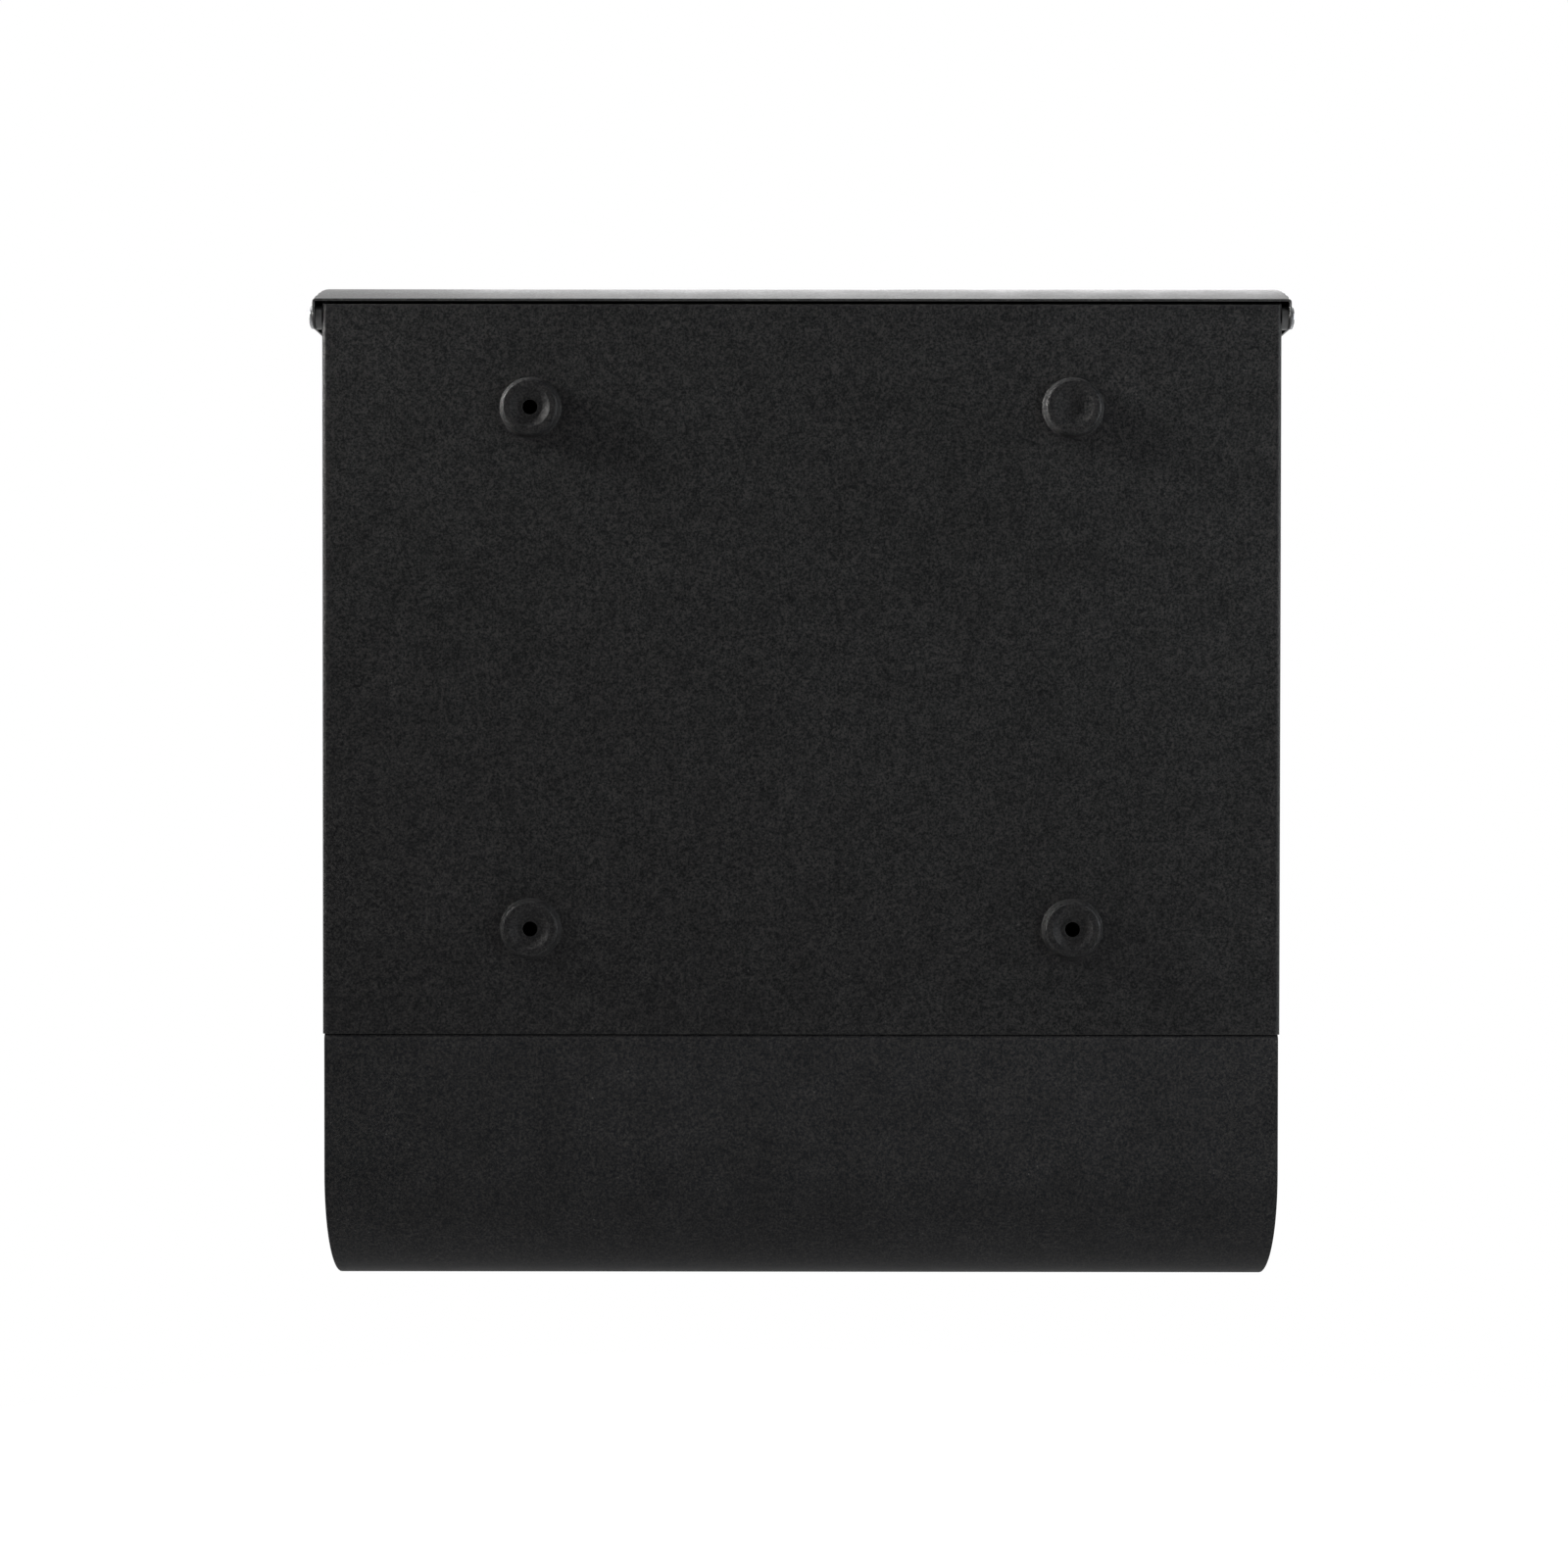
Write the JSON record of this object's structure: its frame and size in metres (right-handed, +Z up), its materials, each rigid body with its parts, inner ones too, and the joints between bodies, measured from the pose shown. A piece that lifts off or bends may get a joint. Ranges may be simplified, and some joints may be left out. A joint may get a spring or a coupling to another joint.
{
  "type": "wall mounted mailbox",
  "caption": "Sheet-steel wall mailbox with an arched lift-up lid, a drop-down door with windows and a cam lock, and a rolled newspaper holder below.",
  "frame": {"origin": "midway between the two lower wall screw holes, in the middle of the pierced sheet; the wall plane is at Y = +1.9 mm", "axes": "+Y points at the wall, +Z is up, +X runs to the right for someone who faces the front"},
  "size_m": [0.3734, 0.105, 0.3878],
  "materials": {
    "body_coat": "satin black powder coat",
    "lid_coat": "satin black powder coat",
    "door_coat": "satin black powder coat",
    "holder_coat": "satin black powder coat",
    "painted_rivet": "satin black powder coat",
    "steel_bolt": "black zinc plate",
    "zinc_plate": "zinc plate",
    "black_nylon": "moulded nylon",
    "rubber": "matte rubber",
    "clear_acrylic": "clear acrylic sheet",
    "lock_chrome": "satin chrome plate",
    "lock_brass": "turned brass"
  },
  "bodies": {
    "box": {"box_shell": "body_coat", "box_floor": "body_coat", "floor_rivets": "painted_rivet", "front_rail": "body_coat", "rail_rivets": "painted_rivet", "lid_pivot_bushes": "black_nylon", "lid_pivot_bolts": "steel_bolt", "lid_pivot_nuts": "zinc_plate", "lid_bumpers": "rubber", "door_pivot_rivets": "steel_bolt", "door_pivot_washers": "black_nylon", "door_bumpers": "rubber", "newspaper_holder": "holder_coat", "holder_screws": "zinc_plate", "holder_nuts": "zinc_plate"},
    "lid": {"lid": "lid_coat"},
    "door": {"door": "door_coat", "window_pane": "clear_acrylic", "pane_rivets": "painted_rivet", "lock_body": "lock_chrome", "lock_nut": "zinc_plate", "lock_cover_rivet": "lock_chrome"},
    "lock_rotor": {"lock_plug": "lock_brass", "lock_cam": "zinc_plate", "cam_screw": "zinc_plate"},
    "lock_cover": {"lock_cover": "lock_chrome"}
  },
  "joints": [
    {"name": "lid_hinge", "type": "hinge", "parent": "box", "child": "lid", "pos_m": [0, -0.0066, 0.2318], "axis": [-1, 0, 0], "range_deg": [0, 70]},
    {"name": "door_hinge", "type": "hinge", "parent": "box", "child": "door", "pos_m": [0, -0.0892, -0.035], "axis": [1, 0, 0], "range_deg": [0, 105]},
    {"name": "lock_turn", "type": "hinge", "parent": "door", "child": "lock_rotor", "pos_m": [0, -0.09742, 0.1704], "axis": [0, 1, 0], "range_deg": [0, 90]},
    {"name": "lock_cover_swing", "type": "hinge", "parent": "door", "child": "lock_cover", "pos_m": [0, -0.09942, 0.1844], "axis": [0, 1, 0], "range_deg": [-110, 110]}
  ]
}
